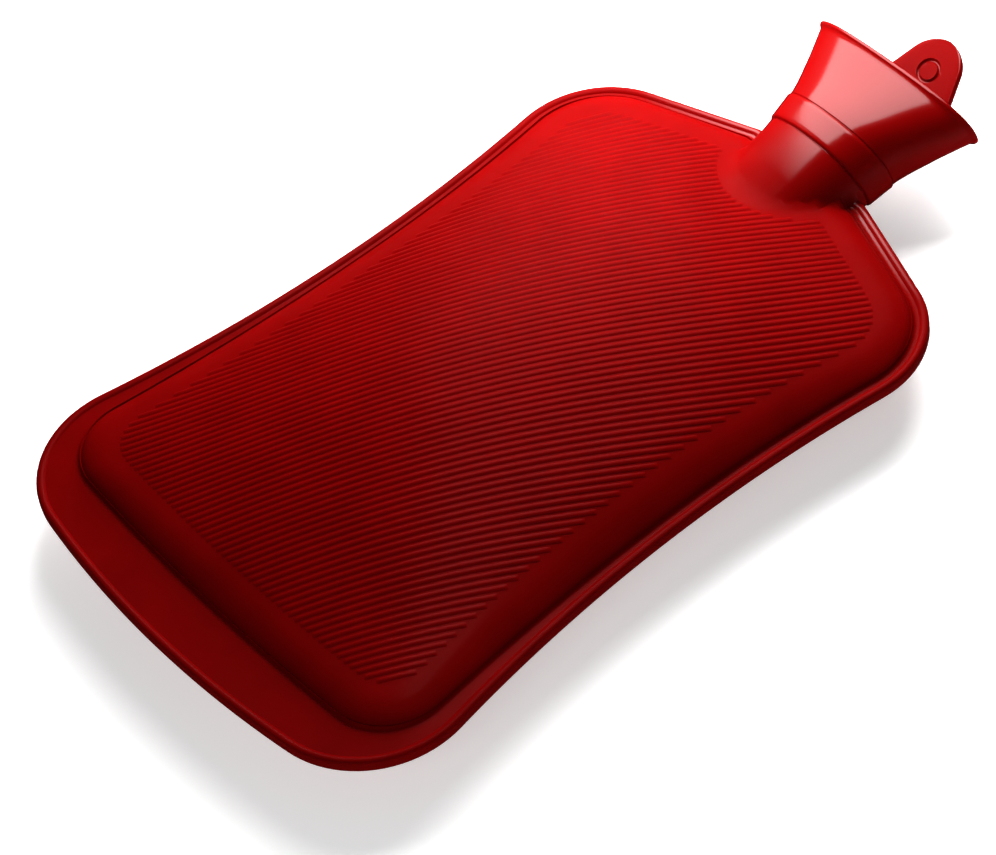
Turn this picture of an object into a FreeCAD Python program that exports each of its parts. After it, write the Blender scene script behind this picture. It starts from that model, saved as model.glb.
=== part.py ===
# Rubber hot water bottle, lying on its back.
# X runs across the bag, Y towards the filling funnel and Z up. The origin is on the table, under the middle
# of the overall length and width. Lengths are in millimetres and angles in degrees.
#
# The bag is shaped in the frame of its moulding seam: y = 0 at the foot of the bag, z = 0 in the seam plane.
# The neck, the insert, the washer and the stopper are built round the bore: their own z runs up the bore, and
# their own y points to the back of the bottle.

import FreeCAD, Part
import Sketcher
import math
import os
import re

Vector = FreeCAD.Vector

DRIVING_SIZES = [
    # Outline of the welt, seen from the front
    ("low_width", 195.0),
    ("low_radius", 38.0),
    ("foot_bow", 4.5),
    ("waist_width", 173.6),
    ("waist_station", 156.0),
    ("shoulder_width", 184.8),
    ("shoulder_radius", 35.0),
    ("shoulder_slope", 18.6),
    ("root_width", 53.0),
    ("root_station", 284.6),
    # Welt: a plate with a raised bead along its edge
    ("flange_thickness", 3.2),
    ("bead_thickness", 4.8),
    ("bead_width", 3.2),
    ("bead_bevel", 0.9),
    # Pillow: the crowned front and back panels inside the flange
    ("side_flange", 5.6),
    ("low_side_flange", 9.5),
    ("foot_flange", 21.8),
    ("pillow_low_radius", 22.0),
    ("pillow_bow", 2.2),
    ("pillow_lean", 24.0),
    ("pillow_edge", 5.0),
    ("front_crown", 22.0),
    ("back_crown", 20.5),
    ("wall", 2.2),
    ("seam_height", 18.0),
    # Ribs on the front panel
    ("rib_pitch", 2.56),
    ("rib_width", 1.3),
    ("rib_height", 0.45),
    ("rib_root", 1.0),
    ("rib_angle", 28.3),
    ("rib_band", 12.5),
    ("rib_field_radius", 14.0),
    ("rib_neck_radius", 30.0),
    # Neck and funnel: ellipses across the bore, at stations along it
    ("neck_station", 278.0),
    ("neck_drop", 0.9),
    ("neck_tilt", 16.5),
    ("heel_station", -28.0),
    ("heel_width", 39.0),
    ("heel_thickness", 19.0),
    ("base_width", 43.0),
    ("base_thickness", 31.0),
    ("band_low", 10.5),
    ("band_low_width", 46.0),
    ("band_high", 21.0),
    ("band_high_width", 49.6),
    ("neck_thickness", 36.0),
    ("band_step", 0.6),
    ("flare_station", 35.0),
    ("flare_width", 61.5),
    ("flare_thickness", 34.0),
    ("rim_station", 50.0),
    ("rim_width", 77.6),
    ("rim_thickness", 29.4),
    ("rim_bead", 0.8),
    ("rim_bead_height", 2.0),
    ("rim_bead_flat", 0.8),
    ("funnel_wall", 1.9),
    ("funnel_floor_width", 38.0),
    ("funnel_floor_thickness", 30.0),
    ("neck_wall", 2.6),
    ("passage_end", 4.0),
    # Hanging tab behind the rim
    ("tab_radius", 12.3),
    ("tab_centre", 61.5),
    ("tab_thickness", 3.0),
    ("tab_face", 9.2),
    ("tab_flare_radius", 5.0),
    ("tab_root", 6.0),
    ("tab_bend_start", 0.5),
    ("tab_bend", 7.0),
    ("ring_radius", 3.5),
    ("ring_groove", 0.9),
    ("ring_depth", 0.5),
    # Threaded insert moulded into the neck
    ("insert_foot", 7.0),
    ("insert_length", 15.0),
    ("insert_radius", 14.0),
    ("insert_groove_depth", 1.2),
    ("insert_groove_width", 3.0),
    ("lip_radius", 11.4),
    # Stopper and washer
    ("thread_radius", 10.2),
    ("thread_clearance", 0.08),
    ("shank_length", 16.5),
    ("shank_chamfer", 1.2),
    ("washer_thickness", 2.0),
    ("washer_radius", 12.2),
    ("washer_clearance", 0.3),
    ("plug_flange_radius", 12.0),
    ("plug_flange_thickness", 2.8),
    ("wing_width", 18.0),
    ("wing_thickness", 6.0),
    ("wing_height", 17.5),
    ("wing_corner", 6.5),
    ("edge_rounding", 0.8),
]

# Each outline: how far it lies inside the welt's at the sides, at the lower corners and at the foot, then how
# far its foot bows out below its lower corners, and their radius
OUTLINES = {
    "welt": ("0", "0", "0", "foot_bow", "low_radius"),
    "groove": ("bead_width", "bead_width", "bead_width", "foot_bow", "low_radius - bead_width"),
    "pillow": ("side_flange", "low_side_flange", "foot_flange", "pillow_bow", "pillow_low_radius"),
    "cavity": (
        "(side_flange + wall)",
        "(low_side_flange + wall)",
        "(foot_flange + wall)",
        "pillow_bow",
        "pillow_low_radius - wall",
    ),
    "field": (
        "(side_flange + rib_band)",
        "(low_side_flange + rib_band)",
        "(foot_flange + rib_band)",
        "pillow_bow",
        "rib_field_radius",
    ),
}

# Outside of the insert, from its foot to its top: radius and station of each corner, round two grip grooves
INSERT_SIDE = [
    ("@insert_radius", "@insert_foot"),
    ("@insert_radius", "@insert_foot + @insert_groove_width"),
    ("@insert_radius - @insert_groove_depth", "@insert_foot + @insert_groove_width"),
    ("@insert_radius - @insert_groove_depth", "@insert_foot + 2 * @insert_groove_width"),
    ("@insert_radius", "@insert_foot + 2 * @insert_groove_width"),
    ("@insert_radius", "@insert_top - 2 * @insert_groove_width"),
    ("@insert_radius - @insert_groove_depth", "@insert_top - 2 * @insert_groove_width"),
    ("@insert_radius - @insert_groove_depth", "@insert_top - @insert_groove_width"),
    ("@insert_radius", "@insert_top - @insert_groove_width"),
    ("@insert_radius", "@insert_top"),
]

# Size of the neck's passage, one wall inside the neck, and the lift of a section towards the neck's front
NARROWED = "@%s - 2 * @neck_wall"
TO_FRONT = "(@neck_thickness - @%s) / 2"

doc = FreeCAD.newDocument("hot_water_bottle")
sheet = doc.addObject("Spreadsheet::Sheet", "sizes")


def fill_sheet():
    """Driving sizes first, then the sizes that follow from them."""
    cells = [(alias, str(value)) for alias, value in DRIVING_SIZES]
    for name, (side, low, foot, bow, radius) in OUTLINES.items():
        cells += [
            (name + "_root_half", "=root_width / 2"),
            (name + "_root_station", "=root_station - %s / cos(shoulder_slope)" % side),
            (name + "_shoulder_corner", "=shoulder_radius - %s" % side),
            (name + "_shoulder_half", "=shoulder_width / 2 - %s" % side),
            (name + "_waist_half", "=waist_width / 2 - %s" % side),
            (name + "_low_corner", "=" + radius),
            (name + "_low_half", "=low_width / 2 - %s" % low),
            (name + "_low_station", "=%s + %s + %s" % (foot, bow, radius)),
            (name + "_foot", "=" + foot),
        ]
    cells += [
        ("insert_top", "=insert_foot + insert_length"),
        ("washer_top", "=insert_top + washer_thickness"),
        ("plug_top", "=washer_top + plug_flange_thickness"),
        ("tab_tip", "=tab_centre + tab_radius"),
        ("tab_back", "=tab_face + tab_thickness"),
        ("overall_length", "=neck_station + tab_tip * cos(neck_tilt) + tab_back * sin(neck_tilt)"),
    ]
    for row, (alias, content) in enumerate(cells, 1):
        sheet.set("A%d" % row, alias)
        sheet.set("B%d" % row, content)
        sheet.setAlias("B%d" % row, alias)
    doc.recompute()


def size(alias):
    """The present value of a named cell."""
    return float(sheet.get(alias))


def value(expression):
    """The present value of an expression. A name after @ is the name of a cell."""
    return float(sheet.evalExpression(expression.replace("@", "")))


def bind(thing, prop, expression):
    """Tie a property to the sheet by an expression."""
    thing.setExpression(prop, re.sub(r"@(\w+)", r"sizes.\1", expression))


def place_on_bore(thing, station="0", lift="0", frame_y="0", frame_z="0"):
    """Stand a thing on the bore, its own z along it from a station, and lift it towards the front."""
    thing.Placement = FreeCAD.Placement(Vector(), FreeCAD.Rotation(Vector(1, 0, 0), size("neck_tilt") - 90))
    along, across = "(%s)" % station, "(%s)" % lift
    rise = along + " * sin(@neck_tilt) + " + across + " * cos(@neck_tilt) - @neck_drop + " + frame_z
    reach = "@neck_station + " + along + " * cos(@neck_tilt) - " + across + " * sin(@neck_tilt) + " + frame_y
    bind(thing, ".Placement.Rotation.Angle", "(@neck_tilt - 90) * 1 deg")
    bind(thing, ".Placement.Base.y", reach)
    bind(thing, ".Placement.Base.z", rise)


def finish_on_bore(body):
    """Place a finished piece that sits on the bore."""
    place_on_bore(body, frame_y="(-@overall_length / 2)", frame_z="@seam_height")


def finish_in_seam(piece):
    """Move the finished bag from the seam's frame to the table."""
    bind(piece, ".Placement.Base.y", "-@overall_length / 2")
    bind(piece, ".Placement.Base.z", "@seam_height")


# Outlines


def add_measures(sketch, measures):
    """Add named dimensions and bind each to its expression."""
    for word, measure, expression in measures:
        index = sketch.addConstraint(Sketcher.Constraint(*measure))
        sketch.renameConstraint(index, word)
        bind(sketch, "Constraints." + word, expression)


def polygon(sketch, corners):
    """Closed outline of straight lines. Each corner is a pair of expressions."""
    points = [Vector(value(x), value(y), 0) for x, y in corners]
    following = points[1:] + points[:1]
    for point, after in zip(points, following):
        sketch.addGeometry(Part.LineSegment(point, after), False)
    start, end = 1, 2
    for number, (x, y) in enumerate(corners):
        previous = number - 1 if number else len(corners) - 1
        sketch.addConstraint(Sketcher.Constraint("Coincident", previous, end, number, start))
        for word, kind, axis, expression in (("x", "DistanceX", -2, x), ("y", "DistanceY", -1, y)):
            if expression == "0":
                sketch.addConstraint(Sketcher.Constraint("PointOnObject", number, start, axis))
            else:
                measure = (kind, -1, 1, number, start, value(expression))
                add_measures(sketch, [("%s%d" % (word, number), measure, expression)])


def revolved(name, corners, on_bore=True):
    """Turned solid. Each corner is a pair of expressions: its radius and its place along the axis."""
    body = doc.addObject("PartDesign::Body", name)
    sketch = add_sketch(body, name + "_profile", "XZ_Plane")
    polygon(sketch, corners)
    turn = body.newObject("PartDesign::Revolution", name + "_turn")
    turn.Profile = sketch
    turn.ReferenceAxis = (sketch, ["V_Axis"])
    turn.Angle = 360
    if on_bore:
        place_on_bore(body)
    return body


def touching_radius(corner, radius, waist):
    """Radius of the waist arc that is upright at the waist and touches a corner arc. Below 0, it bulges."""
    inset = waist.x - corner.x
    rise = waist.y - corner.y
    return (inset**2 + rise**2 - radius**2) / (2 * (radius - inset))


def arc(centre, start, end):
    """Arc about a centre, counter-clockwise from start to end."""
    first = math.atan2(start.y - centre.y, start.x - centre.x)
    last = math.atan2(end.y - centre.y, end.x - centre.x)
    circle = Part.Circle(centre, Vector(0, 0, 1), start.distanceToPoint(centre))
    return Part.ArcOfCircle(circle, first, last)


def mirrored(point):
    return Vector(-point.x, point.y, 0)


def waist_side(corner, radius, waist, above):
    """Waist arc from a corner arc to the waist, the point where they touch, and its two ends."""
    reach = touching_radius(corner, radius, waist)
    centre = waist + Vector(reach, 0, 0)
    join = corner + (centre - corner).normalize() * math.copysign(radius, reach)
    from_waist = above != (reach > 0)
    points = (waist, join) if from_waist else (join, waist)
    return arc(centre, *points), join, (2, 1) if from_waist else (1, 2)


def flipped(side):
    """Mirror image of a waist arc. Its start and end change places."""
    first, last = mirrored(side.EndPoint), mirrored(side.StartPoint)
    return arc(mirrored(side.Center), first, last)


def outline(sketch, name):
    """Hourglass outline: straight shoulders, rounded corners, hollow waist and a slightly bowed foot."""
    slope = math.radians(size("shoulder_slope"))
    up = Vector(math.sin(slope), math.cos(slope), 0)
    root = Vector(size(name + "_root_half"), size(name + "_root_station"), 0)
    high_radius = size(name + "_shoulder_corner")
    high = Vector(size(name + "_shoulder_half") - high_radius, 0, 0)
    high.y = (root.dot(up) - high_radius - high.x * up.x) / up.y
    waist = Vector(size(name + "_waist_half"), size("waist_station"), 0)
    low_radius = size(name + "_low_corner")
    low = Vector(size(name + "_low_half") - low_radius, size(name + "_low_station"), 0)
    foot = size(name + "_foot")
    rise = low.y - foot
    bow = (low.x**2 + rise**2 - low_radius**2) / (2 * (rise - low_radius))
    foot_centre = Vector(0, foot + bow, 0)
    upper_side, high_join, upper_ends = waist_side(high, high_radius, waist, True)
    lower_side, low_join, lower_ends = waist_side(low, low_radius, waist, False)

    shoulder_end = high + up * high_radius
    foot_join = low + (low - foot_centre).normalize() * low_radius

    parts = [
        Part.LineSegment(mirrored(root), root),
        Part.LineSegment(root, shoulder_end),
        arc(high, high_join, shoulder_end),
        upper_side,
        lower_side,
        arc(low, foot_join, low_join),
        arc(foot_centre, mirrored(foot_join), foot_join),
        arc(mirrored(low), mirrored(low_join), mirrored(foot_join)),
        flipped(lower_side),
        flipped(upper_side),
        arc(mirrored(high), mirrored(shoulder_end), mirrored(high_join)),
        Part.LineSegment(mirrored(root), mirrored(shoulder_end)),
    ]
    top, line, corner, upper, lower, toe, sole, toe_l, lower_l, upper_l, corner_l, line_l = [
        sketch.addGeometry(part, False) for part in parts
    ]
    tip = sketch.addGeometry(Part.Point(Vector(0, foot, 0)), True)
    start, end, centre = 1, 2, 3
    upper_high, upper_waist = upper_ends
    lower_low, lower_waist = lower_ends
    links = [
        ("Coincident", top, end, line, start),
        ("Tangent", line, end, corner, end),
        ("Tangent", corner, start, upper, upper_high),
        ("Tangent", upper, upper_waist, lower, lower_waist),
        ("Tangent", lower, lower_low, toe, end),
        ("Tangent", toe, start, sole, end),
        ("Coincident", sole, start, toe_l, end),
        ("Tangent", toe_l, start, lower_l, lower_waist),
        ("Tangent", lower_l, lower_low, upper_l, upper_high),
        ("Tangent", upper_l, upper_waist, corner_l, end),
        ("Tangent", corner_l, start, line_l, end),
        ("Coincident", line_l, start, top, start),
        ("Symmetric", top, start, top, end, -2),
        ("Symmetric", corner, end, corner_l, start, -2),
        ("Symmetric", corner, start, corner_l, end, -2),
        ("Symmetric", upper, upper_waist, upper_l, upper_high, -2),
        ("Symmetric", toe, end, toe_l, start, -2),
        ("Symmetric", toe, start, toe_l, end, -2),
        ("Horizontal", upper, upper_waist, upper, centre),
        ("PointOnObject", tip, start, sole),
        ("PointOnObject", tip, start, -2),
    ]
    for link in links:
        sketch.addConstraint(Sketcher.Constraint(*link))
    shoulder_centre = "@%s_shoulder_half - @%s_shoulder_corner"
    measures = [
        ("root_half", ("DistanceX", -1, 1, top, end, root.x), "@%s_root_half"),
        ("root_station", ("DistanceY", -1, 1, top, end, root.y), "@%s_root_station"),
        ("slope", ("Angle", line, -slope), "-@shoulder_slope * 1 deg"),
        ("shoulder_corner", ("Radius", corner, high_radius), "@%s_shoulder_corner"),
        ("shoulder_half", ("DistanceX", -1, 1, corner, centre, high.x), shoulder_centre),
        ("waist_half", ("DistanceX", -1, 1, upper, upper_waist, waist.x), "@%s_waist_half"),
        ("waist_station", ("DistanceY", -1, 1, upper, upper_waist, waist.y), "@waist_station"),
        ("low_corner", ("Radius", toe, low_radius), "@%s_low_corner"),
        ("low_half", ("DistanceX", -1, 1, toe, centre, low.x), "@%s_low_half - @%s_low_corner"),
        ("low_station", ("DistanceY", -1, 1, toe, centre, low.y), "@%s_low_station"),
        ("foot", ("DistanceY", -1, 1, tip, start, foot), "@%s_foot"),
    ]
    add_measures(sketch, [(word, measure, text.replace("%s", name)) for word, measure, text in measures])


def plane_of(body, role):
    return next(plane for plane in body.Origin.OriginFeatures if plane.Role == role)


def add_sketch(body, name, role="XY_Plane", height=None):
    """Sketch on one of a body's own origin planes, raised by an expression."""
    sketch = body.newObject("Sketcher::SketchObject", name)
    sketch.AttachmentSupport = [(plane_of(body, role), "")]
    sketch.MapMode = "FlatFace"
    if height:
        bind(sketch, ".AttachmentOffset.Base.z", height)
    return sketch


def prism(name, outline_name, length, back="0"):
    """Upright block of an outline, from the seam plane up by length and down by back."""
    sketch = doc.addObject("Sketcher::SketchObject", name + "_outline")
    outline(sketch, outline_name)
    block = doc.addObject("Part::Extrusion", name + "_prism")
    block.Base = sketch
    block.DirMode = "Normal"
    block.Solid = True
    bind(block, "LengthFwd", length)
    bind(block, "LengthRev", back)
    return block


# Crowned panels


def bernstein(coefficients):
    """Control values, on the unit interval, of a polynomial given by its power coefficients."""
    degree = len(coefficients) - 1
    return [
        sum(math.comb(j, i) / math.comb(degree, i) * coefficients[i] for i in range(j + 1))
        for j in range(degree + 1)
    ]


def product(first, second):
    """Power coefficients of the product of two polynomials."""
    result = [0.0] * (len(first) + len(second) - 1)
    for i, a in enumerate(first):
        for j, b in enumerate(second):
            result[i + j] += a * b
    return result


def crown_face(edge, rise):
    """Crowned sheet z = edge + rise (1 - x²g(y)) (1 - v²).

    v runs from -1 at the pillow's foot to 1 at its head, and g is 1 / half-width squared, at the waist and at
    the foot. The formula is a polynomial, so one Bezier patch holds it exactly.
    """
    foot = size("pillow_foot")
    head = size("pillow_root_station")
    half_width = max(size("low_width"), size("waist_width"), size("shoulder_width")) / 2
    length = head - foot
    waist = (size("waist_station") - foot) / length
    waist_curve = 1 / size("pillow_waist_half") ** 2
    foot_curve = 1 / size("pillow_low_half") ** 2
    # With t from 0 at the foot to 1 at the head: 1 - v² = 4t - 4t²
    along = [0.0, 4.0, -4.0, 0.0, 0.0]
    gain = (foot_curve - waist_curve) / waist**2
    across = product([waist_curve + gain * waist**2, -2 * gain * waist, gain], [0.0, 4.0, -4.0])
    even = bernstein(along)
    bent = bernstein(across)
    x_poles = [-half_width, 0.0, half_width]
    square_poles = [half_width**2, -(half_width**2), half_width**2]
    surface = Part.BezierSurface()
    surface.increase(2, 4)
    for i in range(3):
        for j in range(5):
            height = edge + rise * (even[j] - square_poles[i] * bent[j])
            surface.setPole(i + 1, j + 1, Vector(x_poles[i], foot + length * j / 4, height))
    return surface.toShape()


def crown_block(name, edge, rise, depth):
    """Solid between a crowned sheet and its copy moved by depth along z."""
    block = doc.addObject("Part::Feature", name)
    block.Shape = crown_face(edge, rise).extrude(Vector(0, 0, depth))
    return block


def solid_of(kind, name, **links):
    """Add a feature of the document and set its links."""
    feature = doc.addObject(kind, name)
    for prop, value in links.items():
        setattr(feature, prop, value)
    return feature


def joined(name, things):
    """One thing after another fused to the first. The last fusion has the given name."""
    result = things[0]
    for number, thing in enumerate(things[1:], 2):
        step = name if number == len(things) else "%s_%d" % (name, number)
        result = solid_of("Part::Fuse", step, Base=result, Tool=thing, Refine=False)
    return result


def pillow(name, inset):
    """Closed cushion: an outline's block with leaning sides, between the front and the back crown."""
    thickness = size("front_crown") + size("back_crown")
    edge = size("pillow_edge") - value(inset)
    front = crown_block(name + "_front", edge, size("front_crown") - size("pillow_edge"), -2 * thickness)
    back = crown_block(name + "_back", -edge, size("pillow_edge") - size("back_crown"), 2 * thickness)
    block = prism(name, name, "@front_crown", "@seam_height - %s" % inset)
    bind(block, "TaperAngle", "-@pillow_lean")
    bind(block, "TaperAngleRev", "-@pillow_lean")
    return solid_of("Part::MultiCommon", name + "_crowned", Shapes=[block, front, back])


def make_welt():
    """Flat flange round the pillow, with a bevelled bead along its edge."""
    plate = prism("flange", "welt", "@flange_thickness / 2", "@flange_thickness / 2")
    band = prism("bead", "welt", "@bead_thickness / 2", "@bead_thickness / 2")
    middle = prism("bead_middle", "groove", "@bead_thickness", "@bead_thickness")
    ring = solid_of("Part::Cut", "bead_ring", Base=band, Tool=middle)
    doc.recompute()
    bevel = size("bead_bevel")
    level = [number for number, edge in enumerate(ring.Shape.Edges, 1) if edge.BoundBox.ZLength < bevel / 2]
    edges = [(number, bevel, bevel) for number in level]
    bead = solid_of("Part::Chamfer", "bead_bevelled", Base=ring, Edges=edges)
    return solid_of("Part::MultiFuse", "welt", Shapes=[plate, bead])


def ellipse(name, station, width, thickness, lift="0"):
    """Ellipse across the bore."""
    section = doc.addObject("Part::Ellipse", name)
    bind(section, "MajorRadius", "(%s) / 2" % width)
    bind(section, "MinorRadius", "(%s) / 2" % thickness)
    place_on_bore(section, station, lift)
    return section


def loft(name, sections, straight=False):
    rings = [ellipse("%s_%d" % (name, number), *section) for number, section in enumerate(sections, 1)]
    return solid_of("Part::Loft", name, Sections=rings, Solid=True, Ruled=straight)


def make_neck():
    """Neck and funnel, the band over the insert and the rolled rim."""
    body = loft(
        "neck",
        [
            ("@heel_station", "@heel_width", "@heel_thickness", TO_FRONT % "heel_thickness"),
            ("0", "@base_width", "@base_thickness", TO_FRONT % "base_thickness"),
            ("@band_low", "@band_low_width", "@neck_thickness"),
            ("@band_high", "@band_high_width", "@neck_thickness"),
            ("@flare_station", "@flare_width", "@flare_thickness"),
            ("@rim_station", "@rim_width", "@rim_thickness"),
        ],
    )
    step = " + 2 * @band_step"
    band = loft(
        "band",
        [
            ("@band_low", "@band_low_width" + step, "@neck_thickness" + step),
            ("@band_high", "@band_high_width" + step, "@neck_thickness" + step),
        ],
        straight=True,
    )
    swell = " + 2 * @rim_bead"
    shoulder = "(@rim_bead_height - @rim_bead_flat) / 2"
    rim = loft(
        "rim",
        [
            ("@rim_station - @rim_bead_height", "@rim_width", "@rim_thickness"),
            ("@rim_station - %s - @rim_bead_flat" % shoulder, "@rim_width" + swell, "@rim_thickness" + swell),
            ("@rim_station - %s" % shoulder, "@rim_width" + swell, "@rim_thickness" + swell),
            ("@rim_station", "@rim_width + @rim_bead", "@rim_thickness + @rim_bead"),
        ],
        straight=True,
    )
    return [body, band, rim]


def make_hollow():
    """Space in the neck: the passage from the cavity, the lip, the insert's seat and the funnel's inside."""
    sections = []
    for name, station in (("heel", "@heel_station"), ("base", "0")):
        width, thickness = name + "_width", name + "_thickness"
        sections.append((station, NARROWED % width, NARROWED % thickness, TO_FRONT % thickness))
    sections.append(("@passage_end", "2 * @lip_radius", "2 * @lip_radius"))
    passage = loft("passage", sections, straight=True)
    seat = revolved(
        "insert_seat",
        [("0", "@passage_end"), ("@lip_radius", "@passage_end"), ("@lip_radius", "@insert_foot")]
        + INSERT_SIDE
        + [("0", "@insert_top")],
    )
    funnel = loft(
        "funnel",
        [
            ("@insert_top", "@funnel_floor_width", "@funnel_floor_thickness"),
            ("@flare_station", "@flare_width - 2 * @funnel_wall", "@flare_thickness - 2 * @funnel_wall"),
            ("@rim_station", "@rim_width - 2 * @funnel_wall", "@rim_thickness - 2 * @funnel_wall"),
        ],
    )
    return [passage, seat, funnel]


def make_tab():
    """Hanging tab: a bent tongue behind the rim, rounded at its end, with a shallow ring."""
    tongue = doc.addObject("PartDesign::Body", "tongue")
    side = add_sketch(tongue, "tongue_side", "YZ_Plane")
    front = "(@rim_thickness / 2 - @funnel_wall / 2)"
    root = "@rim_station - @tab_root"
    bend = "@rim_station + @tab_bend_start"
    offset = " + @tab_thickness * tan(atan((%s - @tab_face) / @tab_bend) / 2)" % front
    polygon(
        side,
        [
            (front, root),
            (front, bend),
            ("@tab_face", bend + " + @tab_bend"),
            ("@tab_face", "@tab_tip + @tab_thickness"),
            ("@tab_back", "@tab_tip + @tab_thickness"),
            ("@tab_back", bend + " + @tab_bend" + offset),
            (front + " + @tab_thickness", bend + offset),
            (front + " + @tab_thickness", root),
        ],
    )
    pad = tongue.newObject("PartDesign::Pad", "tongue_pad")
    pad.Profile = side
    pad.SideType = "Symmetric"
    bind(pad, "Length", "2 * (@tab_radius + @tab_flare_radius)")
    place_on_bore(tongue)

    plan = doc.addObject("PartDesign::Body", "tab_plan")
    sketch = add_sketch(plan, "tab_outline", "XZ_Plane")
    tab_outline(sketch)
    block = plan.newObject("PartDesign::Pad", "tab_block")
    block.Profile = sketch
    block.SideType = "Symmetric"
    bind(block, "Length", "2 * @rim_thickness")
    place_on_bore(plan)
    shape = solid_of("Part::Common", "tab_shape", Base=tongue, Tool=plan)

    ring = revolved(
        "ring_groove",
        [
            ("@ring_radius", "-@ring_depth"),
            ("@ring_radius + @ring_groove", "-@ring_depth"),
            ("@ring_radius + @ring_groove", "@ring_depth"),
            ("@ring_radius", "@ring_depth"),
        ],
        on_bore=False,
    )
    ring.Placement = FreeCAD.Placement(Vector(), FreeCAD.Rotation(Vector(1, 0, 0), size("neck_tilt")))
    bind(ring, ".Placement.Rotation.Angle", "@neck_tilt * 1 deg")
    up, back = "@tab_centre * %s(@neck_tilt)", "@tab_face * %s(@neck_tilt)"
    bind(ring, ".Placement.Base.y", "@neck_station + %s + %s" % (up % "cos", back % "sin"))
    bind(ring, ".Placement.Base.z", "%s - %s - @neck_drop" % (up % "sin", back % "cos"))
    return solid_of("Part::Cut", "tab", Base=shape, Tool=ring)


def tab_outline(sketch):
    """Round end, straight sides and hollow flares down to the root, drawn on the bore's own XZ plane."""
    radius, flare = size("tab_radius"), size("tab_flare_radius")
    high, low = size("tab_centre"), size("rim_station") - size("tab_root")
    elbow = size("rim_station") + flare
    side, foot = Vector(radius, high, 0), Vector(radius + flare, low, 0)
    bend, heel = Vector(radius, elbow, 0), Vector(radius + flare, size("rim_station"), 0)
    parts = [
        arc(Vector(0, high, 0), side, mirrored(side)),
        Part.LineSegment(mirrored(side), mirrored(bend)),
        arc(Vector(-radius - flare, elbow, 0), mirrored(heel), mirrored(bend)),
        Part.LineSegment(mirrored(heel), mirrored(foot)),
        Part.LineSegment(mirrored(foot), foot),
        Part.LineSegment(foot, heel),
        arc(Vector(radius + flare, elbow, 0), bend, heel),
        Part.LineSegment(bend, side),
    ]
    cap, side_l, flare_l, drop_l, base, drop, flare_r, side_r = [
        sketch.addGeometry(part, False) for part in parts
    ]
    start, end, centre = 1, 2, 3
    links = [
        ("Tangent", cap, end, side_l, start),
        ("Tangent", side_l, end, flare_l, end),
        ("Coincident", flare_l, start, drop_l, start),
        ("Coincident", drop_l, end, base, start),
        ("Coincident", base, end, drop, start),
        ("Coincident", drop, end, flare_r, end),
        ("Tangent", flare_r, start, side_r, start),
        ("Tangent", side_r, end, cap, start),
        ("PointOnObject", cap, centre, -2),
        ("Vertical", side_r),
        ("Vertical", side_l),
        ("Vertical", drop),
        ("Vertical", drop_l),
        ("Vertical", flare_r, centre, flare_r, end),
        ("Vertical", flare_l, centre, flare_l, start),
        ("Horizontal", base),
        ("Equal", flare_r, flare_l),
        ("Horizontal", flare_r, end, flare_l, start),
    ]
    for link in links:
        sketch.addConstraint(Sketcher.Constraint(*link))
    measures = [
        ("round", ("Radius", cap, radius), "@tab_radius"),
        ("station", ("DistanceY", -1, 1, cap, centre, high), "@tab_centre"),
        ("flare", ("Radius", flare_r, flare), "@tab_flare_radius"),
        ("rim", ("DistanceY", -1, 1, flare_r, end, size("rim_station")), "@rim_station"),
        ("foot", ("DistanceY", -1, 1, base, end, low), "@rim_station - @tab_root"),
    ]
    add_measures(sketch, measures)


# Ribs


def make_comb():
    """Row of slanted bars across the whole front panel."""
    comb = doc.addObject("PartDesign::Body", "comb")
    comb.AllowCompound = True
    sketch = add_sketch(comb, "rib_plan")
    left, right = "-0.5 * @rib_width", "0.5 * @rib_width"
    low, high = "-@root_station", "@root_station"
    polygon(sketch, [(left, low), (right, low), (right, high), (left, high)])
    bar = comb.newObject("PartDesign::Pad", "rib_bar")
    bar.Profile = sketch
    bind(bar, "Length", "@front_crown + 2 * @rib_height")
    row = comb.newObject("PartDesign::LinearPattern", "rib_row")
    row.Originals = [bar]
    row.Direction = (sketch, ["H_Axis"])
    reach = math.hypot(size("low_width"), size("root_station")) / 2
    gaps = 2 * math.ceil(reach / size("rib_pitch"))
    row.Occurrences = gaps + 1
    bind(row, "Length", "@rib_pitch * %d" % gaps)
    comb.Tip = row
    middle = "@rib_pitch * %d" % (gaps // 2)
    comb.Placement = FreeCAD.Placement(Vector(), FreeCAD.Rotation(Vector(0, 0, 1), -size("rib_angle")))
    bind(comb, ".Placement.Rotation.Angle", "-@rib_angle * 1 deg")
    bind(comb, ".Placement.Base.x", "-%s * cos(@rib_angle)" % middle)
    bind(comb, ".Placement.Base.y", "@root_station / 2 + %s * sin(@rib_angle)" % middle)
    return comb


def make_ribs():
    """Fine ribs that stand on the front panel, inside a smooth border and short of the neck."""
    crest = size("pillow_edge") + size("rib_height")
    depth = -size("rib_height") - size("rib_root")
    sheet_of_ribs = crown_block("rib_sheet", crest, size("front_crown") - size("pillow_edge"), depth)
    field = prism("field", "field", "@front_crown + 2 * @rib_height")
    clear = doc.addObject("Part::Cylinder", "neck_border")
    bind(clear, "Radius", "@rib_neck_radius")
    bind(clear, "Height", "@front_crown + 2 * @rib_height")
    bind(clear, ".Placement.Base.y", "@neck_station")
    area = solid_of("Part::Cut", "rib_area", Base=field, Tool=clear)
    return solid_of("Part::MultiCommon", "ribs", Shapes=[make_comb(), sheet_of_ribs, area])


# Pieces


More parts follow.
